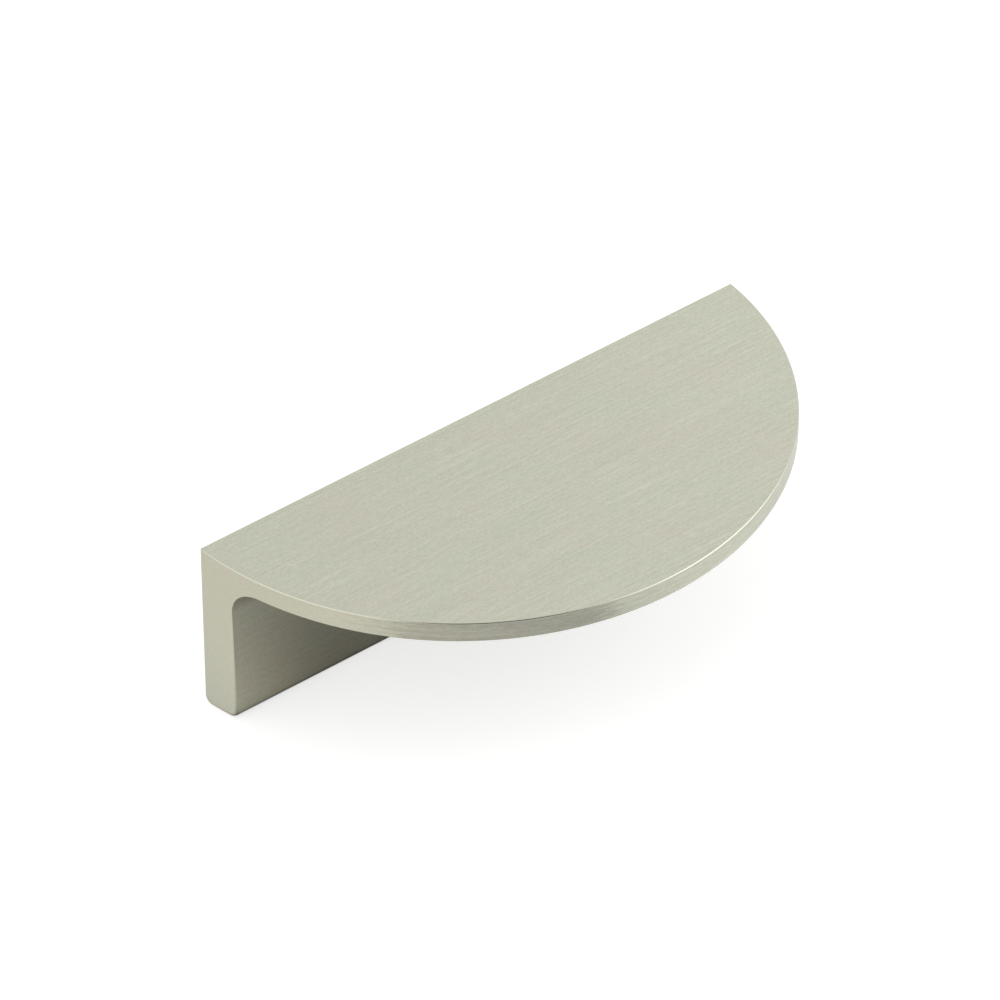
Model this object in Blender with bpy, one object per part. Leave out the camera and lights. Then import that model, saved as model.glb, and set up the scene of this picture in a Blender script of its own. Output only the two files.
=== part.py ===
"""Half-moon edge pull.

One piece of metal: an L-shaped bar, a thin plate on top and a thicker flange below
its straight rear edge, cut to a half-moon in plan. Two blind screw holes are drilled
into the back of the flange.

Metres, +Z up. X runs along the pull, the back face lies on Y = 0 and faces +Y, and
the plate reaches out to -Y. The origin is the centre of the back face.

The edge between the bar and the half-moon's wall is rounded as if a ball rolled along
it on the inside, touching both. Each place of the ball gives one row of points.
"""

from math import acos, asin, cos, pi, radians, sin, sqrt, tan

import bmesh
import bpy
from mathutils import Vector

# Overall sizes. The length is measured between the rear corners as if they were sharp.
LENGTH = 0.1000
PROJECTION = 0.0478
HEIGHT = 0.0291

# The bar's section
PLATE_THICKNESS = 0.0034
FLANGE_THICKNESS = 0.0064
INNER_FILLET = 0.0052
REAR_TOP_ROUND = 0.0004
FOOT_FRONT_ROUND = 0.0012
FOOT_REAR_ROUND = 0.0014

# The flange's two upright rear corners
CORNER_ROUND = 0.0004

# The edge that the half-moon cut leaves. It is rounder at the front of the foot.
EDGE_ROUND = 0.00025
FOOT_EDGE_ROUND = 0.0009

# Screw holes, tapped for M4
SCREW_SPACING = 0.0640
SCREW_HOLE_DIAMETER = 0.0033
SCREW_MOUTH_DIAMETER = 0.0044
SCREW_END_WALL = 0.0010
DRILL_POINT_ANGLE = radians(118)

# Finish
SATIN_NICKEL = (0.54, 0.53, 0.44, 1.0)
SATIN_ROUGHNESS = 0.38

# How finely the round shapes are cut into flats
ARC_STEPS = 40
FILLET_STEPS = 10
UPRIGHT_STEPS = 3
FOOT_STEPS = 4
ROUND_STEPS = 6
CORNER_STEPS = 4
EDGE_STEPS = 3
HOLE_STEPS = 32
SHARP_ANGLE = radians(40)
SAME_POINT = 0.000001

# Worked out from the sizes above
TOP_Z = HEIGHT / 2
FOOT_Z = -HEIGHT / 2
UNDERSIDE_Z = TOP_Z - PLATE_THICKNESS
FRONT_Y = -FLANGE_THICKNESS
FILLET_END_Y = FRONT_Y - INNER_FILLET
FILLET_END_Z = UNDERSIDE_Z - INNER_FILLET
HALF_LENGTH = LENGTH / 2
ARC_RADIUS = (HALF_LENGTH ** 2 + PROJECTION ** 2) / (2 * PROJECTION)
ARC_CENTRE_Y = ARC_RADIUS - PROJECTION

# The upright rear corner's own centre, and where it runs into the arc
CORNER_CENTRE_X = sqrt((ARC_RADIUS - CORNER_ROUND) ** 2 - (ARC_CENTRE_Y + CORNER_ROUND) ** 2)
CORNER_START_SINE = -(ARC_CENTRE_Y + CORNER_ROUND) / (ARC_RADIUS - CORNER_ROUND)


def clear_scene():
    for obj in list(bpy.data.objects):
        bpy.data.objects.remove(obj, do_unlink=True)


def spread(start, end, steps):
    """Evenly spaced values after start, up to and including end."""
    return [start + (end - start) * step / steps for step in range(1, steps + 1)]


def cosine_of(sine):
    return sqrt(max(1 - sine ** 2, 0.0))


def against_wall(y, radius):
    """A ball inside the half-moon with its centre at the depth y, touching the wall.

    It gives how far the centre lies from the middle, and the wall's normal there.
    """
    corner = CORNER_ROUND - radius
    if y > corner * CORNER_START_SINE - CORNER_ROUND:
        sine = (y + CORNER_ROUND) / corner
        return CORNER_CENTRE_X + corner * cosine_of(sine), Vector((cosine_of(sine), sine, 0.0))
    arc = ARC_RADIUS - radius
    sine = (y - ARC_CENTRE_Y) / arc
    return arc * cosine_of(sine), Vector((cosine_of(sine), sine, 0.0))


def under_top(y, radius):
    """A ball inside the bar at the depth y, touching its top: the centre's height, and the normal."""
    if y <= -REAR_TOP_ROUND:
        return TOP_Z - radius, Vector((0.0, 0.0, 1.0))
    corner = REAR_TOP_ROUND - radius
    sine = (y + REAR_TOP_ROUND) / corner
    return TOP_Z - REAR_TOP_ROUND + corner * cosine_of(sine), Vector((0.0, sine, cosine_of(sine)))


def lower_balls():
    """The balls inside the bar that touch its underside, from the tip to the back face.

    Each is its centre's depth and height, its radius, and the bar's normal.
    """
    arc = ARC_RADIUS - EDGE_ROUND
    balls = []
    for angle in [0.0] + spread(0.0, acos((ARC_CENTRE_Y - FILLET_END_Y) / arc), ARC_STEPS):
        balls.append((ARC_CENTRE_Y - arc * cos(angle), UNDERSIDE_Z + EDGE_ROUND, EDGE_ROUND, (0.0, -1.0)))

    fillet = INNER_FILLET + EDGE_ROUND
    for angle in spread(0.0, pi / 2, FILLET_STEPS):
        y = FILLET_END_Y + fillet * sin(angle)
        z = FILLET_END_Z + fillet * cos(angle)
        balls.append((y, z, EDGE_ROUND, (-sin(angle), -cos(angle))))

    for share in spread(0.0, 1.0, UPRIGHT_STEPS):
        radius = EDGE_ROUND + (FOOT_EDGE_ROUND - EDGE_ROUND) * share
        z = FILLET_END_Z + (FOOT_Z + FOOT_FRONT_ROUND - FILLET_END_Z) * share
        balls.append((FRONT_Y + radius, z, radius, (-1.0, 0.0)))

    front = FOOT_FRONT_ROUND - FOOT_EDGE_ROUND
    for angle in spread(0.0, pi / 2, ROUND_STEPS):
        y = FRONT_Y + FOOT_FRONT_ROUND - front * cos(angle)
        z = FOOT_Z + FOOT_FRONT_ROUND - front * sin(angle)
        balls.append((y, z, FOOT_EDGE_ROUND, (-cos(angle), -sin(angle))))

    for share in spread(0.0, 1.0, FOOT_STEPS):
        radius = FOOT_EDGE_ROUND + (EDGE_ROUND - FOOT_EDGE_ROUND) * share
        y = FRONT_Y + FOOT_FRONT_ROUND + (FLANGE_THICKNESS - FOOT_FRONT_ROUND - FOOT_REAR_ROUND) * share
        balls.append((y, FOOT_Z + radius, radius, (0.0, -1.0)))

    # The last places go round the upright corner in even steps
    rear = FOOT_REAR_ROUND - EDGE_ROUND
    corner = CORNER_ROUND - EDGE_ROUND
    corner_start = FOOT_REAR_ROUND - CORNER_ROUND
    angles = spread(0.0, asin(corner_start / rear), ROUND_STEPS)
    for turned in spread(0.0, pi / 2, CORNER_STEPS):
        angles.append(asin(min((corner_start + corner * sin(turned)) / rear, 1.0)))
    for angle in angles:
        y = -FOOT_REAR_ROUND + rear * sin(angle)
        z = FOOT_Z + FOOT_REAR_ROUND - rear * cos(angle)
        balls.append((y, z, EDGE_ROUND, (sin(angle), -cos(angle))))
    return balls


def ball_row(centre, radius, bar, wall):
    """Points on the ball, from where it touches the bar round to where it touches the wall."""
    return [centre + radius * bar.slerp(wall, step / EDGE_STEPS) for step in range(EDGE_STEPS + 1)]


def edge_rows():
    """The rounded edge's rows of points on the right-hand side, above and below.

    A row above stands over each row below, so that the wall between them is upright.
    """
    above, below = [], []
    for y, z, radius, normal in lower_balls():
        x, wall = against_wall(y, radius)
        below.append(ball_row(Vector((x, y, z)), radius, Vector((0.0, *normal)), wall))
        over = Vector((x, y, 0.0)) + (radius - EDGE_ROUND) * wall
        over.z, bar = under_top(over.y, EDGE_ROUND)
        above.append(ball_row(over, EDGE_ROUND, bar, wall))
    return above, below


def build_body_mesh(name):
    """The L-shaped bar, cut to the half-moon, with all its edges rounded."""
    bm = bmesh.new()
    above, below = edge_rows()
    round_the_bar = above + list(reversed(below))
    right = [[bm.verts.new(point) for point in row] for row in round_the_bar]
    left = [[bm.verts.new((-point.x, point.y, point.z)) for point in row] for row in round_the_bar]

    for place in range(len(round_the_bar) - 1):
        right_a, right_b = right[place], right[place + 1]
        left_a, left_b = left[place], left[place + 1]
        bm.faces.new((left_a[0], right_a[0], right_b[0], left_b[0]))
        for step in range(EDGE_STEPS):
            bm.faces.new((right_a[step], right_a[step + 1], right_b[step + 1], right_b[step]))
            bm.faces.new((left_a[step], left_b[step], left_b[step + 1], left_a[step + 1]))

    for place in range(len(above) - 1):
        under = -1 - place
        bm.faces.new((right[place][-1], right[under][-1], right[under - 1][-1], right[place + 1][-1]))
        bm.faces.new((left[place][-1], left[place + 1][-1], left[under - 1][-1], left[under][-1]))

    # At the tip both sides meet, and at the back face each row shrinks to one point
    bmesh.ops.remove_doubles(bm, verts=bm.verts, dist=SAME_POINT)
    bmesh.ops.recalc_face_normals(bm, faces=bm.faces)
    mesh = bpy.data.meshes.new(name)
    bm.to_mesh(mesh)
    bm.free()
    return mesh


def build_drill_mesh(name):
    """The shape of one screw hole, from in front of its mouth to the drill's point."""
    hole = SCREW_HOLE_DIAMETER / 2
    mouth = SCREW_MOUTH_DIAMETER / 2
    point_length = hole / tan(DRILL_POINT_ANGLE / 2)
    tip_y = FRONT_Y + SCREW_END_WALL
    lead = mouth
    rings = [(mouth + lead, lead), (hole, hole - mouth), (hole, tip_y + point_length)]

    bm = bmesh.new()
    loops = []
    for radius, y in rings:
        angles = [2 * pi * step / HOLE_STEPS for step in range(HOLE_STEPS)]
        loops.append([bm.verts.new((radius * cos(angle), y, radius * sin(angle))) for angle in angles])
    bm.faces.new(loops[0])
    for near, far in zip(loops, loops[1:]):
        for step in range(HOLE_STEPS):
            after = (step + 1) % HOLE_STEPS
            bm.faces.new((near[step], far[step], far[after], near[after]))
    tip = bm.verts.new((0.0, tip_y, 0.0))
    for step in range(HOLE_STEPS):
        bm.faces.new((loops[-1][step], tip, loops[-1][(step + 1) % HOLE_STEPS]))
    bmesh.ops.recalc_face_normals(bm, faces=bm.faces)
    mesh = bpy.data.meshes.new(name)
    bm.to_mesh(mesh)
    bm.free()
    return mesh


def satin_nickel():
    material = bpy.data.materials.new("satin_nickel")
    material.use_nodes = True
    shader = material.node_tree.nodes["Principled BSDF"]
    shader.inputs["Base Color"].default_value = SATIN_NICKEL
    shader.inputs["Metallic"].default_value = 1.0
    shader.inputs["Roughness"].default_value = SATIN_ROUGHNESS
    return material


def add_object(name, mesh):
    obj = bpy.data.objects.new(name, mesh)
    bpy.context.scene.collection.objects.link(obj)
    return obj


def drill(body, name, mesh, x):
    """Sink one screw hole into the back face, level with the origin."""
    cutter = add_object(name, mesh)
    cutter.location = (x, 0.0, 0.0)
    cutter.display_type = "WIRE"
    cutter.hide_render = True
    cut = body.modifiers.new(name, "BOOLEAN")
    cut.operation = "DIFFERENCE"
    cut.solver = "EXACT"
    cut.object = cutter


def apply_modifiers(obj):
    """Keep the drilled shape as the object's own mesh, so that its shading can follow it."""
    depsgraph = bpy.context.evaluated_depsgraph_get()
    undrilled = obj.data
    drilled = bpy.data.meshes.new_from_object(obj.evaluated_get(depsgraph))
    obj.modifiers.clear()
    obj.data = drilled
    bpy.data.meshes.remove(undrilled)
    drilled.name = obj.name


def build_pull():
    body = add_object("pull_body", build_body_mesh("pull_body"))
    body.data.materials.append(satin_nickel())
    drill_mesh = build_drill_mesh("screw_drill")
    drill(body, "screw_drill_left", drill_mesh, -SCREW_SPACING / 2)
    drill(body, "screw_drill_right", drill_mesh, SCREW_SPACING / 2)
    apply_modifiers(body)
    body.data.shade_smooth()
    body.data.set_sharp_from_angle(angle=SHARP_ANGLE)


clear_scene()
build_pull()
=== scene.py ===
"""The looks of a half-moon edge pull in satin nickel, lit and seen as in a product photograph.

The pull is one piece of metal. Its surface is built here again, finer than the solid and on
the solid's own form, with true threads in the two screw holes behind it.
"""

from math import acos, asin, ceil, cos, degrees, pi, radians, sin, sqrt, tan

import bmesh
import bpy
from mathutils import Matrix, Vector


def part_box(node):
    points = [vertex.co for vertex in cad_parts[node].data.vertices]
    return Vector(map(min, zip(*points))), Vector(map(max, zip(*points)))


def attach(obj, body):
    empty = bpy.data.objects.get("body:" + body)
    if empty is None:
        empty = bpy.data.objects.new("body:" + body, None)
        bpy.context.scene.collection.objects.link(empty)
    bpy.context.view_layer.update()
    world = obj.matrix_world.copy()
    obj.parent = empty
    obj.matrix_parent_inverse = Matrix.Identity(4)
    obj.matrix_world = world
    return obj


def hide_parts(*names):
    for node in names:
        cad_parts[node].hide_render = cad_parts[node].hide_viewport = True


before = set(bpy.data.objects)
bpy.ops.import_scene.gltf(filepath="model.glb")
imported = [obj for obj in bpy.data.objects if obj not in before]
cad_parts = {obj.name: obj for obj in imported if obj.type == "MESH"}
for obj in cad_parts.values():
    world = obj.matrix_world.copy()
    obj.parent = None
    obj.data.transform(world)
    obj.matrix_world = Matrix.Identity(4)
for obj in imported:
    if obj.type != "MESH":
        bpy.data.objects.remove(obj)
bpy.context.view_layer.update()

MM = 0.001

# The solid's section and roundings, which its box doesn't tell
PLATE_THICKNESS = 3.4 * MM
FLANGE_THICKNESS = 6.4 * MM
INNER_FILLET = 5.2 * MM
REAR_TOP_ROUND = 0.4 * MM
FOOT_FRONT_ROUND = 1.2 * MM
FOOT_REAR_ROUND = 1.4 * MM
CORNER_ROUND = 0.4 * MM
EDGE_ROUND = 0.25 * MM
FOOT_EDGE_ROUND = 0.9 * MM

# The rest of its form, from its box
low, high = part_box("pull_body")
TOP_Z = high.z
FOOT_Z = low.z
PROJECTION = -low.y
CORNER_CENTRE_X = high.x - CORNER_ROUND
ARC_RADIUS = (CORNER_CENTRE_X ** 2 / (PROJECTION - 2 * CORNER_ROUND) + PROJECTION) / 2
ARC_CENTRE_Y = ARC_RADIUS - PROJECTION
CORNER_START_SINE = -(ARC_CENTRE_Y + CORNER_ROUND) / (ARC_RADIUS - CORNER_ROUND)
UNDERSIDE_Z = TOP_Z - PLATE_THICKNESS
FRONT_Y = -FLANGE_THICKNESS
FILLET_END_Y = FRONT_Y - INNER_FILLET
FILLET_END_Z = UNDERSIDE_Z - INNER_FILLET

# Screw holes with M4 threads. A groove's two flanks would meet at its peak, but its floor cuts
# them off. Peak and slope are counted in depths of the thread, the slope over one pitch.
SCREW_SPACING = 64 * MM
HOLE_RADIUS = 1.65 * MM
MOUTH_RADIUS = 2.2 * MM
HOLE_END_WALL = 1.0 * MM
HOLE_DEPTH = FLANGE_THICKNESS - HOLE_END_WALL
DRILL_HALF_ANGLE = radians(59)
THREAD_DEPTH = 0.36 * MM
THREAD_PITCH = 0.7 * MM
THREAD_END = 4.0 * MM
GROOVE_PEAK = 1.45
GROOVE_SLOPE = 4.2

# How finely the round shapes are drawn
ARC_STEPS = 150
FILLET_STEPS = 20
UPRIGHT_STEPS = 8
FOOT_STEPS = 6
ROUND_STEPS = 12
CORNER_STEPS = 8
EDGE_STEPS = 8
HOLE_STEPS = 48
RINGS_PER_PITCH = 14
SAME_POINT = 0.0005 * MM

# The metal's colour: the two tints that its faint clouds vary between
WARM_NICKEL = (0.546, 0.538, 0.449)
COOL_NICKEL = (0.534, 0.546, 0.446)

# The metal's marks: their length and width in millimetres, and a seed. The dents tip the
# surface, one kind along the brush and the other across it.
SHORT_STREAKS = (1.7, 0.46, 3.0)
LONG_STREAKS = (22.0, 0.52, 17.0)
SCRATCHES = (16.0, 0.28, 23.0)
SPECKLE = (0.45, 0.45, 71.0)
SMALL_CLOUDS = (2.0, 2.0, 29.0)
LARGE_CLOUDS = (12.0, 9.0, 31.0)
DENTS_ALONG = (3.0, 0.3, 41.0)
DENTS_ACROSS = (7.0, 0.3, 53.0)

# Which part of a noise from 0 to 1 goes all the way from its darkest to its lightest marks
MARK_RANGE = (0.3, 0.7)
SCRATCH_RANGE = (0.66, 0.78)
SPECKLE_RANGE = (0.25, 0.75)
CLOUD_RANGE = (0.38, 0.62)

# How strong a scratch is beside a streak, how much smoother a light streak is, which share of
# their lean the dents have along the brush, and the turn that blurs highlights across it
SCRATCH_STRENGTH = 1.4
STREAK_SMOOTHNESS = 0.03
LEAN_ALONG = 0.4
BLUR_TURN = 0.25

# Where the wall's brush marks fade out on both sides, measured round the arc from its middle
WALL_ENDS_MM = (43.0, 57.0)

# The floor, the card on it that only the metal sees, and the card behind. Sizes are in metres.
WHITE = (1.0, 1.0, 1.0, 1.0)
FLOOR_SIZE = 4.0
FLOOR_GAP = 0.02 * MM
FLOOR_GREY = (0.6, 0.6, 0.6, 1.0)
FLOOR_GLOW = 0.62
REFLECTOR_SIZE = 1.2
REFLECTOR_GAP = 0.01 * MM
BACK_CARD_SIZE = 0.5
BACK_CARD_CENTRE = (0.47, 0.25, 0.24)
BACK_CARD_GLOW = 1.12

# The two lines that part the reflector's grey card from the white ones beside it. Each is where
# it starts, in millimetres, and the azimuth that it runs at, in degrees.
LEFT_LINE = (-37.8, -30.5, -59.5)
RIGHT_LINE = (-11.0, -46.6, 12.8)
LINE_SOFTNESS = 1.5
LEFT_CARD_SOFTNESS = 31.0
LEFT_CARD_FAR = 1.04
LEFT_CARD_NEAR = 0.66

# The reflector's passages: where each starts and ends, in millimetres, and its level at both
# The left card is a little darker close to the pull: painted shade
LEFT_CARD_DEPTH = (-30.0, -8.0, 1.0, 0.96)
RIGHT_CARD = (0.0, 60.0, 0.93, 1.04)
GREY_CARD = (-90.0, 0.0, 0.77, 0.62)
# These paint the pull's shade onto the reflector: darker under the plate, at the rim and at the foot, but
# not behind the back face or past the ends
UNDER_PLATE = (-20.0, 16.0, 0.13, 1.0)
AT_RIM = (1.0, 16.0, 0.88, 1.0)
AT_FOOT = (FRONT_Y / MM - 3.0, FRONT_Y / MM + 0.4, 1.0, 0.3)
BEHIND = (0.0, 3.0)
ASIDE = (47.5, 51.0)

# The painted shade on the reflector is tinted warmer, as light that has met the metal before: the tint
# in full shade, the two levels that it fades out between, and how much of it stays on the left, in
# millimetres
SHADE_TINT = (1.0, 0.92, 0.80)
OPEN_TINT = (1.0, 1.0, 1.0)
TINT_RANGE = (0.1, 0.9)
TINT_ON_LEFT = (-70.0, -40.0, 0.6, 1.0)

# The sky. Each part of it is the azimuth of its middle, half its width and its softness, all in
# degrees, and the height of its top, where 1 is overhead.
SKY_LEVEL = 0.98
CAMERA_GAP = (-25.0, 30.0, 3.0, 0.93)
CAMERA_GAP_LEVEL = (0.1, 0.75, 0.5, 0.03)
RIGHT_WINDOW = (50.0, 30.0, 20.0, 0.8)
RIGHT_WINDOW_GLOW = 1.25
LEFT_WINDOW = (-90.0, 36.0, 8.0, 0.8)
LEFT_WINDOW_GLOW = 0.45
TOP_SOFTNESS = 0.06

# The camera, fitted to the photograph's outline. It is hung on the middle of the top's rear
# edge, and the pixel is where the photograph shows that point.
CAMERA_AZIMUTH = radians(-38.24)
CAMERA_ELEVATION = radians(39.41)
CAMERA_ROLL = radians(-0.33)
CAMERA_DISTANCE = 1.1826
FOCAL_PIXELS = 8000
PICTURE_PIXELS = 1000
REAR_MIDDLE_PIXEL = (470.19, 412.51)
SENSOR_MM = 36


def spread(start, end, steps):
    """Evenly spaced values after start, up to and including end."""
    return [start + (end - start) * step / steps for step in range(1, steps + 1)]


def cosine_of(sine):
    return sqrt(max(1 - sine ** 2, 0.0))


def against_wall(y, radius):
    """A ball inside the half-moon at the depth y: its distance from the middle, and the wall's normal."""
    corner = CORNER_ROUND - radius
    if y > corner * CORNER_START_SINE - CORNER_ROUND:
        sine = (y + CORNER_ROUND) / corner
        return CORNER_CENTRE_X + corner * cosine_of(sine), Vector((cosine_of(sine), sine, 0.0))
    arc = ARC_RADIUS - radius
    sine = (y - ARC_CENTRE_Y) / arc
    return arc * cosine_of(sine), Vector((cosine_of(sine), sine, 0.0))


def under_top(y, radius):
    """A ball inside the bar at the depth y: its height under the top, and the top's normal."""
    if y <= -REAR_TOP_ROUND:
        return TOP_Z - radius, Vector((0.0, 0.0, 1.0))
    corner = REAR_TOP_ROUND - radius
    sine = (y + REAR_TOP_ROUND) / corner
    return TOP_Z - REAR_TOP_ROUND + corner * cosine_of(sine), Vector((0.0, sine, cosine_of(sine)))


def lower_balls():
    """Balls inside the bar that touch its underside, from the tip to the back face.

    Each is its centre's depth and height, its radius, and the bar's normal.
    """
    arc = ARC_RADIUS - EDGE_ROUND
    balls = []
    for angle in [0.0] + spread(0.0, acos((ARC_CENTRE_Y - FILLET_END_Y) / arc), ARC_STEPS):
        balls.append((ARC_CENTRE_Y - arc * cos(angle), UNDERSIDE_Z + EDGE_ROUND, EDGE_ROUND, (0.0, -1.0)))

    fillet = INNER_FILLET + EDGE_ROUND
    for angle in spread(0.0, pi / 2, FILLET_STEPS):
        y = FILLET_END_Y + fillet * sin(angle)
        z = FILLET_END_Z + fillet * cos(angle)
        balls.append((y, z, EDGE_ROUND, (-sin(angle), -cos(angle))))

    for share in spread(0.0, 1.0, UPRIGHT_STEPS):
        radius = EDGE_ROUND + (FOOT_EDGE_ROUND - EDGE_ROUND) * share
        z = FILLET_END_Z + (FOOT_Z + FOOT_FRONT_ROUND - FILLET_END_Z) * share
        balls.append((FRONT_Y + radius, z, radius, (-1.0, 0.0)))

    front = FOOT_FRONT_ROUND - FOOT_EDGE_ROUND
    for angle in spread(0.0, pi / 2, ROUND_STEPS):
        y = FRONT_Y + FOOT_FRONT_ROUND - front * cos(angle)
        z = FOOT_Z + FOOT_FRONT_ROUND - front * sin(angle)
        balls.append((y, z, FOOT_EDGE_ROUND, (-cos(angle), -sin(angle))))

    for share in spread(0.0, 1.0, FOOT_STEPS):
        radius = FOOT_EDGE_ROUND + (EDGE_ROUND - FOOT_EDGE_ROUND) * share
        y = FRONT_Y + FOOT_FRONT_ROUND + (FLANGE_THICKNESS - FOOT_FRONT_ROUND - FOOT_REAR_ROUND) * share
        balls.append((y, FOOT_Z + radius, radius, (0.0, -1.0)))

    # The last places go round the upright corner in even steps
    rear = FOOT_REAR_ROUND - EDGE_ROUND
    corner = CORNER_ROUND - EDGE_ROUND
    corner_start = FOOT_REAR_ROUND - CORNER_ROUND
    angles = spread(0.0, asin(corner_start / rear), ROUND_STEPS)
    for turned in spread(0.0, pi / 2, CORNER_STEPS):
        angles.append(asin(min((corner_start + corner * sin(turned)) / rear, 1.0)))
    for angle in angles:
        y = -FOOT_REAR_ROUND + rear * sin(angle)
        z = FOOT_Z + FOOT_REAR_ROUND - rear * cos(angle)
        balls.append((y, z, EDGE_ROUND, (sin(angle), -cos(angle))))
    return balls


def ball_row(centre, radius, bar, wall):
    """Points on the ball with their normals, from the bar round to the half-moon's wall."""
    normals = [bar.slerp(wall, step / EDGE_STEPS) for step in range(EDGE_STEPS + 1)]
    return [(centre + radius * normal, normal) for normal in normals]


def edge_rows():
    """The rounded edge's rows on the right-hand side, above and below, one over the other."""
    above, below = [], []
    for y, z, radius, normal in lower_balls():
        x, wall = against_wall(y, radius)
        below.append(ball_row(Vector((x, y, z)), radius, Vector((0.0, *normal)), wall))
        over = Vector((x, y, 0.0)) + (radius - EDGE_ROUND) * wall
        over.z, bar = under_top(over.y, EDGE_ROUND)
        above.append(ball_row(over, EDGE_ROUND, bar, wall))
    return above, below


def running_length(points):
    """How far each point lies along the line through all of them."""
    lengths = [0.0]
    for before, after in zip(points, points[1:]):
        lengths.append(lengths[-1] + (after - before).length)
    return lengths


class PullMesh:
    """Builds the pull's surface, and keeps each corner's brush coordinates in millimetres.

    The brush runs along the first coordinate: lengthwise on the bar, and round the arc on
    the half-moon's wall and edge.
    """

    # The finishes, in the order of the mesh's materials
    BAR, WALL, EDGE, HOLE = range(4)

    def __init__(self):
        self.bm = bmesh.new()
        self.normal = self.bm.verts.layers.float_vector.new("surface_normal")
        self.brush = self.bm.loops.layers.uv.new("brush")

    def vert(self, point, normal=Vector()):
        made = self.bm.verts.new(point)
        made[self.normal] = normal
        return made

    def face(self, finish, corners):
        """A face of that finish. Each corner is its vertex and its brush coordinates."""
        made = self.bm.faces.new([vert for vert, place in corners])
        made.material_index = finish
        made.smooth = True
        for loop, (vert, (along, across)) in zip(made.loops, corners):
            loop[self.brush].uv = (along / MM, across / MM)

    def side(self, rows, sign):
        """All rows of one side. The left-hand side is the mirror image."""
        flip = Vector((sign, 1.0, 1.0))
        return [[self.vert(point * flip, normal * flip) for point, normal in row] for row in rows]

    def wall_face(self, finish, sign, ring, round_wall):
        """A face round the arc. Each corner is its vertex and its row, counted from the tip."""
        corners = [(vert, (sign * round_wall[place], vert.co.z)) for vert, place in ring]
        self.face(finish, corners if sign > 0 else corners[::-1])

    def body(self):
        above, below = edge_rows()
        rows = above + below[::-1]
        girth = running_length([row[0][0] * Vector((0.0, 1.0, 1.0)) for row in rows])
        round_wall = running_length([row[-1][0] * Vector((1.0, 1.0, 0.0)) for row in above])
        round_wall += round_wall[::-1]
        right, left = self.side(rows, 1), self.side(rows, -1)
        back = len(above) - 1

        for place in range(len(rows) - 1):
            if place != back:
                ring = ((left[place][0], place), (right[place][0], place),
                        (right[place + 1][0], place + 1), (left[place + 1][0], place + 1))
                self.face(self.BAR, [(vert, (vert.co.x, girth[at])) for vert, at in ring])
            for side, sign in ((right, 1), (left, -1)):
                for step in range(EDGE_STEPS):
                    ring = ((side[place][step], place), (side[place][step + 1], place),
                            (side[place + 1][step + 1], place + 1), (side[place + 1][step], place + 1))
                    self.wall_face(self.EDGE, sign, ring, round_wall)

        middle = {}
        for side, sign in ((right, 1), (left, -1)):
            middle[sign] = self.vert((sign * CORNER_CENTRE_X, 0.0, 0.0), Vector((0.0, 1.0, 0.0)))
            for place in range(back):
                under = len(rows) - 1 - place
                ring = [(side[place][-1], place), (side[under][-1], place),
                        (side[under - 1][-1], place + 1)]
                if place == back - 1:
                    ring.append((middle[sign], place + 1))
                ring.append((side[place + 1][-1], place + 1))
                self.wall_face(self.WALL, sign, ring, round_wall)

        corners = {}
        for side, sign in ((right, 1), (left, -1)):
            corners[sign, "upper"], corners[sign, "lower"] = side[back][0], side[back + 1][0]
        self.back_face(corners, middle)

    def back_face(self, corners, middle):
        """The flat back in an upper and a lower half, which meet on the level of both holes."""
        half = HOLE_STEPS // 2
        over, under = [middle[-1]], [middle[-1]]
        for x in (-SCREW_SPACING / 2, SCREW_SPACING / 2):
            rim = self.hole(x)
            over += [rim[place] for place in range(half, -1, -1)]
            under += [rim[place % HOLE_STEPS] for place in range(half, HOLE_STEPS + 1)]
        over += [middle[1], corners[1, "upper"], corners[-1, "upper"]]
        under += [middle[1], corners[1, "lower"], corners[-1, "lower"]]
        for ring in (over, under[::-1]):
            self.face(self.BAR, [(vert, (vert.co.x, vert.co.z)) for vert in ring])

    def hole(self, x):
        """One threaded hole. It returns its rim, which the back face is built up to."""
        turns = [step / HOLE_STEPS for step in range(HOLE_STEPS)]
        outlines = [(0.0, [MOUTH_RADIUS] * HOLE_STEPS)]
        for depth in spread(0.0, THREAD_END, ceil(THREAD_END / THREAD_PITCH * RINGS_PER_PITCH)):
            outlines.append((depth, [self.thread_radius(depth, turn) for turn in turns]))
        outlines.append((HOLE_DEPTH - HOLE_RADIUS / tan(DRILL_HALF_ANGLE), [HOLE_RADIUS] * HOLE_STEPS))

        rings = []
        for depth, radii in outlines:
            normal = Vector((0.0, 0.0 if depth else 1.0, 0.0))
            places = [(x + radius * cos(2 * pi * turn), -depth, radius * sin(2 * pi * turn))
                      for radius, turn in zip(radii, turns)]
            rings.append([self.vert(place, normal) for place in places])
        tip = self.vert((x, -HOLE_DEPTH, 0.0))
        for near, far in zip(rings, rings[1:]):
            for step in range(HOLE_STEPS):
                ring = (near[step], far[step], far[(step + 1) % HOLE_STEPS], near[(step + 1) % HOLE_STEPS])
                self.face(self.HOLE, [(vert, (vert.co.x, vert.co.y)) for vert in ring])
        for step in range(HOLE_STEPS):
            ring = (rings[-1][step], tip, rings[-1][(step + 1) % HOLE_STEPS])
            self.face(self.HOLE, [(vert, (vert.co.x, vert.co.y)) for vert in ring])
        return rings[0]

    def thread_radius(self, depth, turn):
        """The threaded hole's radius, with a groove that winds inwards, and the chamfered mouth."""
        place = (depth / THREAD_PITCH - turn) % 1.0
        groove = min(max(GROOVE_PEAK - GROOVE_SLOPE * abs(place - 0.5), 0.0), 1.0)
        fade = min((THREAD_END - depth) / THREAD_PITCH, 1.0)
        return max(HOLE_RADIUS + THREAD_DEPTH * groove * fade, MOUTH_RADIUS - depth)

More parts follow.
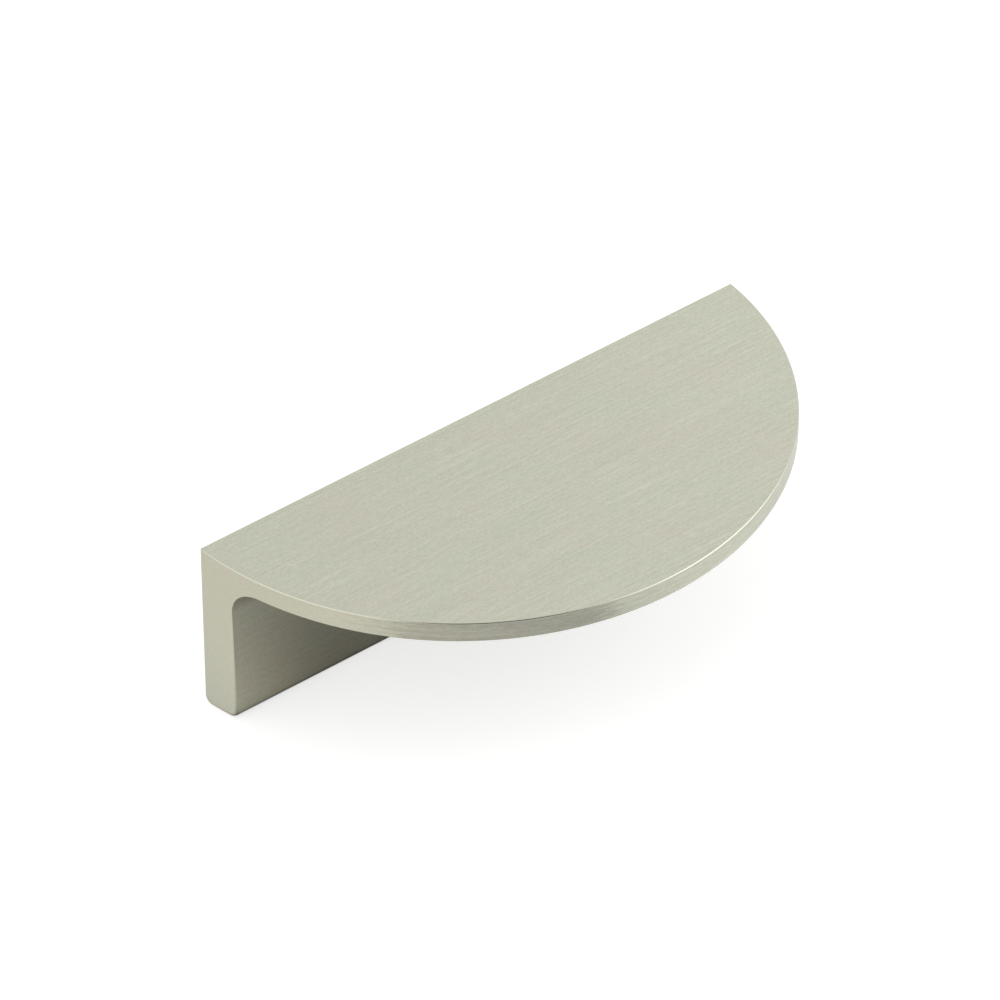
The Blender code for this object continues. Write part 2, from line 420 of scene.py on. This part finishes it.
    def mesh(self, name):
        """The finished mesh, shaded by the form's own normals instead of by its flats."""
        bmesh.ops.remove_doubles(self.bm, verts=self.bm.verts, dist=SAME_POINT)
        bmesh.ops.recalc_face_normals(self.bm, faces=self.bm.faces)
        for edge in self.bm.edges:
            finishes = {face.material_index for face in edge.link_faces}
            edge.smooth = finishes != {self.BAR, self.HOLE}
        made = bpy.data.meshes.new(name)
        self.bm.to_mesh(made)
        self.bm.free()
        layer = made.attributes["surface_normal"]
        kept = [Vector(entry.vector) for entry in layer.data]
        normals = [Vector()] * len(made.loops)
        for polygon in made.polygons:
            if polygon.material_index != self.HOLE:
                for loop in polygon.loop_indices:
                    normals[loop] = kept[made.loops[loop].vertex_index]
        made.attributes.remove(layer)
        made.normals_split_custom_set(normals)
        return made


class Graph:
    """Short ways to lay shader nodes. A value is a number, a colour or another node's output."""

    def __init__(self, tree):
        self.tree = tree

    def put(self, socket, value):
        if isinstance(value, bpy.types.NodeSocket):
            self.tree.links.new(value, socket)
        elif value is not None:
            socket.default_value = value

    def add(self, kind, *values, **settings):
        """A node with its first inputs set in order. A setting is one of the node's own."""
        made = self.tree.nodes.new(kind)
        for name, value in settings.items():
            setattr(made, name, value)
        for socket, value in zip(made.inputs, values):
            self.put(socket, value)
        return made

    def math(self, operation, *values):
        return self.add("ShaderNodeMath", *values, operation=operation).outputs[0]

    def rise(self, value, start, end, low=0.0, high=1.0):
        """Low up to start and high from end on, with a soft passage between them."""
        made = self.add("ShaderNodeMapRange", value, start, end, low, high, interpolation_type="SMOOTHSTEP")
        return made.outputs[0]

    def blend(self, share, first, second):
        """A mix of two numbers."""
        return self.add("ShaderNodeMix", share, None, first, second).outputs[0]

    def tint(self, share, first, second):
        """A mix of two colours."""
        made = self.add("ShaderNodeMix", data_type="RGBA")
        for name, value in (("Factor_Float", share), ("A_Color", first), ("B_Color", second)):
            socket = next(entry for entry in made.inputs if entry.identifier == name)
            self.put(socket, (*value, 1.0) if isinstance(value, tuple) else value)
        return next(entry for entry in made.outputs if entry.identifier == "Result_Color")

    def noise(self, x, y, z=0.0, detail=2.0, roughness=0.5):
        """Noise from 0 to 1 at that place, whose features are about one unit wide."""
        place = self.add("ShaderNodeCombineXYZ", x, y, z).outputs[0]
        made = self.add("ShaderNodeTexNoise")
        self.put(made.inputs["Vector"], place)
        for name, value in (("Scale", 1.0), ("Detail", detail), ("Roughness", roughness)):
            made.inputs[name].default_value = value
        return made.outputs[0]


def nickel(name, contrast, grain, roughness, anisotropy, lean=0.0, ends=None):
    """Nickel with fine brush marks.

    Contrast is how much lighter and darker the marks are, and grain the same for the even
    grain between them. Lean is how far the dents tip the surface across the brush. Ends are
    the two distances from the middle, in millimetres, that the marks fade out between.
    """
    material = bpy.data.materials.new(name)
    material.use_nodes = True
    graph = Graph(material.node_tree)
    shader = material.node_tree.nodes["Principled BSDF"]

    brush = graph.add("ShaderNodeUVMap", uv_map="brush").outputs[0]
    place = graph.add("ShaderNodeSeparateXYZ", brush)
    along, across = place.outputs[0], place.outputs[1]
    brushed = graph.rise(graph.math("ABSOLUTE", along), *ends, 1.0, 0.0) if ends else 1.0

    def marks(length, width, seed, detail=2.0):
        along_it = graph.math("MULTIPLY", along, 1 / length)
        across_it = graph.math("MULTIPLY", across, 1 / width)
        return graph.noise(along_it, across_it, seed, detail)

    streaks = graph.blend(0.5, marks(*SHORT_STREAKS), marks(*LONG_STREAKS))
    scratches = graph.rise(marks(*SCRATCHES, detail=0.0), *SCRATCH_RANGE, 0.0, SCRATCH_STRENGTH)
    clouds = graph.blend(0.5, marks(*SMALL_CLOUDS), marks(*LARGE_CLOUDS))

    deep = graph.math("MULTIPLY", contrast, brushed)
    shade = graph.math("MULTIPLY", graph.rise(streaks, *MARK_RANGE, -1.0, 1.0), deep)
    shade = graph.math("ADD", shade, graph.math("MULTIPLY", scratches, deep))
    shade = graph.math("ADD", shade, graph.rise(marks(*SPECKLE), *SPECKLE_RANGE, 1 - grain, 1 + grain))
    hue = graph.tint(graph.rise(clouds, *CLOUD_RANGE), WARM_NICKEL, COOL_NICKEL)
    colour = graph.add("ShaderNodeVectorMath", hue, operation="SCALE")
    graph.put(colour.inputs["Scale"], shade)
    graph.put(shader.inputs["Base Color"], colour.outputs[0])

    shader.inputs["Metallic"].default_value = 1.0
    smoother = graph.rise(streaks, *MARK_RANGE, -STREAK_SMOOTHNESS, STREAK_SMOOTHNESS)
    smoother = graph.math("MULTIPLY", smoother, brushed)
    graph.put(shader.inputs["Roughness"], graph.math("SUBTRACT", roughness, smoother))
    shader.inputs["Anisotropic"].default_value = anisotropy
    shader.inputs["Anisotropic Rotation"].default_value = BLUR_TURN
    tangent = graph.add("ShaderNodeTangent", direction_type="UV_MAP", uv_map="brush")
    graph.put(shader.inputs["Tangent"], tangent.outputs[0])

    if lean:
        leans = []
        for dents, most in ((DENTS_ALONG, LEAN_ALONG * lean), (DENTS_ACROSS, lean)):
            leant = graph.rise(marks(*dents), *MARK_RANGE, -most / 2, most / 2)
            leans.append(graph.math("ADD", 0.5, graph.math("MULTIPLY", leant, brushed)))
        normal = graph.add("ShaderNodeNormalMap", uv_map="brush")
        graph.put(normal.inputs["Color"], graph.add("ShaderNodeCombineXYZ", *leans, 1.0).outputs[0])
        graph.put(shader.inputs["Normal"], normal.outputs[0])
    return material


def build_pull():
    builder = PullMesh()
    builder.body()
    mesh = builder.mesh("edge_pull")
    for finish in (
            nickel("brushed_bar", contrast=0.05, grain=0.055, roughness=0.38, anisotropy=0.6),
            nickel("brushed_wall", contrast=0.08, grain=0.04, roughness=0.28, anisotropy=0.95,
                   lean=0.12, ends=WALL_ENDS_MM),
            nickel("eased_edge", contrast=0.01, grain=0.02, roughness=0.22, anisotropy=0.0),
            nickel("tapped_hole", contrast=0.02, grain=0.03, roughness=0.35, anisotropy=0.0)):
        mesh.materials.append(finish)
    pull = bpy.data.objects.new("edge_pull", mesh)
    bpy.context.scene.collection.objects.link(pull)
    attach(pull, "root")
    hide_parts("pull_body")


def studio_card(name, size, centre, tilt=0.0):
    """A square of the studio. A quarter turn's tilt stands it up, parallel to the back face."""
    bpy.ops.mesh.primitive_plane_add(size=size, location=centre, rotation=(tilt, 0.0, 0.0))
    card = bpy.context.object
    card.name = name
    material = bpy.data.materials.new(name)
    material.use_nodes = True
    material.node_tree.nodes.clear()
    card.data.materials.append(material)
    return card, Graph(material.node_tree)


def only_in_metal(card):
    """Hides the card from all but reflections."""
    card.visible_camera = False
    card.visible_diffuse = False
    card.visible_transmission = False
    card.visible_shadow = False


def seen_share(graph):
    """1 for what the camera sees, also in metal or through glass, and 0 for the rest of the light."""
    path = graph.add("ShaderNodeLightPath")
    rays = [path.outputs[name] for name in ("Is Camera Ray", "Is Glossy Ray", "Is Transmission Ray")]
    return graph.math("MAXIMUM", graph.math("MAXIMUM", rays[0], rays[1]), rays[2])


def build_floor():
    """A white floor that keeps a soft shadow."""
    floor, graph = studio_card("floor", FLOOR_SIZE, (0.0, 0.0, FOOT_Z - FLOOR_GAP))
    lit = graph.add("ShaderNodeBsdfDiffuse", FLOOR_GREY).outputs[0]
    glow = graph.math("MULTIPLY", seen_share(graph), FLOOR_GLOW)
    own = graph.add("ShaderNodeEmission", WHITE, glow).outputs[0]
    graph.add("ShaderNodeOutputMaterial", graph.add("ShaderNodeAddShader", lit, own).outputs[0])


def build_reflector():
    """What the metal sees below the horizon: white cards left and right, with a grey one between
    them in front of the pull, and the pull's shade under the plate, painted on. Nothing else sees them."""
    card, graph = studio_card("reflector", REFLECTOR_SIZE, (0.0, 0.0, FOOT_Z - REFLECTOR_GAP))
    only_in_metal(card)

    position = graph.add("ShaderNodeNewGeometry").outputs["Position"]
    place = graph.add("ShaderNodeSeparateXYZ", position)
    x, y = [graph.math("MULTIPLY", place.outputs[axis], 1 / MM) for axis in (0, 1)]

    def left_of(line, softness):
        """1 to the left of the line as one looks along it, and 0 to its right."""
        start_x, start_y, azimuth = line
        ahead_x, ahead_y = sin(radians(azimuth)), -cos(radians(azimuth))
        turned = graph.math("SUBTRACT",
                            graph.math("MULTIPLY", graph.math("SUBTRACT", y, start_y), ahead_x),
                            graph.math("MULTIPLY", graph.math("SUBTRACT", x, start_x), ahead_y))
        return graph.rise(turned, -softness, softness)

    left_card = graph.blend(left_of(LEFT_LINE, LEFT_CARD_SOFTNESS), LEFT_CARD_FAR, LEFT_CARD_NEAR)
    # Painted shade: the left card darkens a little close to the pull
    left_card = graph.math("MULTIPLY", left_card, graph.rise(y, *LEFT_CARD_DEPTH))
    grey_card = graph.rise(x, *GREY_CARD)
    right_card = graph.rise(x, *RIGHT_CARD)
    in_front = graph.blend(left_of(LEFT_LINE, LINE_SOFTNESS), left_card, grey_card)
    open_floor = graph.blend(left_of(RIGHT_LINE, LINE_SOFTNESS), in_front, right_card)

    # Painted shade: close to the rim and under the plate the card is darkened where the floor is in the
    # pull's own shade, and tinted warmer where the light that reaches it there has met the metal before
    squares = graph.math("ADD", graph.math("MULTIPLY", x, x), graph.math("MULTIPLY", y, y))
    past_rim = graph.math("SUBTRACT", graph.math("SQRT", squares), PROJECTION / MM)
    shaded = graph.math("MULTIPLY", graph.rise(past_rim, *UNDER_PLATE), graph.rise(y, *AT_FOOT))
    behind = graph.rise(y, *BEHIND)
    aside = graph.rise(graph.math("ABSOLUTE", x), *ASIDE)
    lit = graph.math("MAXIMUM", graph.math("MAXIMUM", shaded, behind), aside)
    level = graph.math("MULTIPLY", graph.rise(past_rim, *AT_RIM), lit)
    cold = graph.math("MULTIPLY", graph.rise(level, *TINT_RANGE), graph.rise(x, *TINT_ON_LEFT))
    tint = graph.tint(cold, SHADE_TINT, OPEN_TINT)
    glow = graph.add("ShaderNodeEmission", tint, graph.math("MULTIPLY", open_floor, level))
    graph.add("ShaderNodeOutputMaterial", glow.outputs[0])


def build_back_card():
    """A card behind the pull on its right, which lightens that end of the top a little."""
    card, graph = studio_card("back_card", BACK_CARD_SIZE, BACK_CARD_CENTRE, pi / 2)
    only_in_metal(card)
    glow = graph.add("ShaderNodeEmission", WHITE, BACK_CARD_GLOW)
    graph.add("ShaderNodeOutputMaterial", glow.outputs[0])


def build_world():
    """A white sky with a window on each side, and a gap round the camera that dims upwards."""
    world = bpy.data.worlds.new("studio")
    world.use_nodes = True
    graph = Graph(world.node_tree)
    ray = graph.add("ShaderNodeTexCoord").outputs["Generated"]
    place = graph.add("ShaderNodeSeparateXYZ", ray)
    ahead = graph.math("MULTIPLY", place.outputs[1], -1.0)
    azimuth = graph.math("MULTIPLY", graph.math("ARCTAN2", place.outputs[0], ahead), degrees(1.0))
    height = place.outputs[2]

    def inside(middle, half_width, softness, top):
        """1 inside that part of the sky and 0 outside it."""
        aside = graph.math("ABSOLUTE", graph.math("SUBTRACT", azimuth, middle))
        width = graph.rise(aside, half_width - softness, half_width + softness, 1.0, 0.0)
        below = graph.rise(height, top - TOP_SOFTNESS, top + TOP_SOFTNESS, 1.0, 0.0)
        return graph.math("MULTIPLY", width, below)

    level = graph.blend(inside(*CAMERA_GAP), SKY_LEVEL, graph.rise(height, *CAMERA_GAP_LEVEL))
    for window, glow in ((RIGHT_WINDOW, RIGHT_WINDOW_GLOW), (LEFT_WINDOW, LEFT_WINDOW_GLOW)):
        level = graph.math("ADD", level, graph.math("MULTIPLY", inside(*window), glow))
    background = world.node_tree.nodes["Background"]
    background.inputs["Color"].default_value = WHITE
    graph.put(background.inputs["Strength"], level)
    bpy.context.scene.world = world


def build_camera():
    azimuth, elevation = CAMERA_AZIMUTH, CAMERA_ELEVATION
    back = Vector((sin(azimuth) * cos(elevation), -cos(azimuth) * cos(elevation), sin(elevation)))
    right = Matrix.Rotation(CAMERA_ROLL, 3, back) @ Vector((cos(azimuth), sin(azimuth), 0.0))
    up = back.cross(right)
    off_x, off_y = [(PICTURE_PIXELS / 2 - pixel) / FOCAL_PIXELS * CAMERA_DISTANCE
                    for pixel in REAR_MIDDLE_PIXEL]
    data = bpy.data.cameras.new("camera")
    data.sensor_width = SENSOR_MM
    data.lens = SENSOR_MM * FOCAL_PIXELS / PICTURE_PIXELS
    camera = bpy.data.objects.new("camera", data)
    camera.location = Vector((0.0, 0.0, TOP_Z)) + CAMERA_DISTANCE * back + off_x * right - off_y * up
    camera.rotation_mode = "QUATERNION"
    camera.rotation_quaternion = Matrix((right, up, back)).transposed().to_quaternion()
    bpy.context.scene.collection.objects.link(camera)
    bpy.context.scene.camera = camera


build_pull()
build_floor()
build_reflector()
build_back_card()
build_world()
build_camera()
bpy.context.scene.view_settings.view_transform = "Standard"
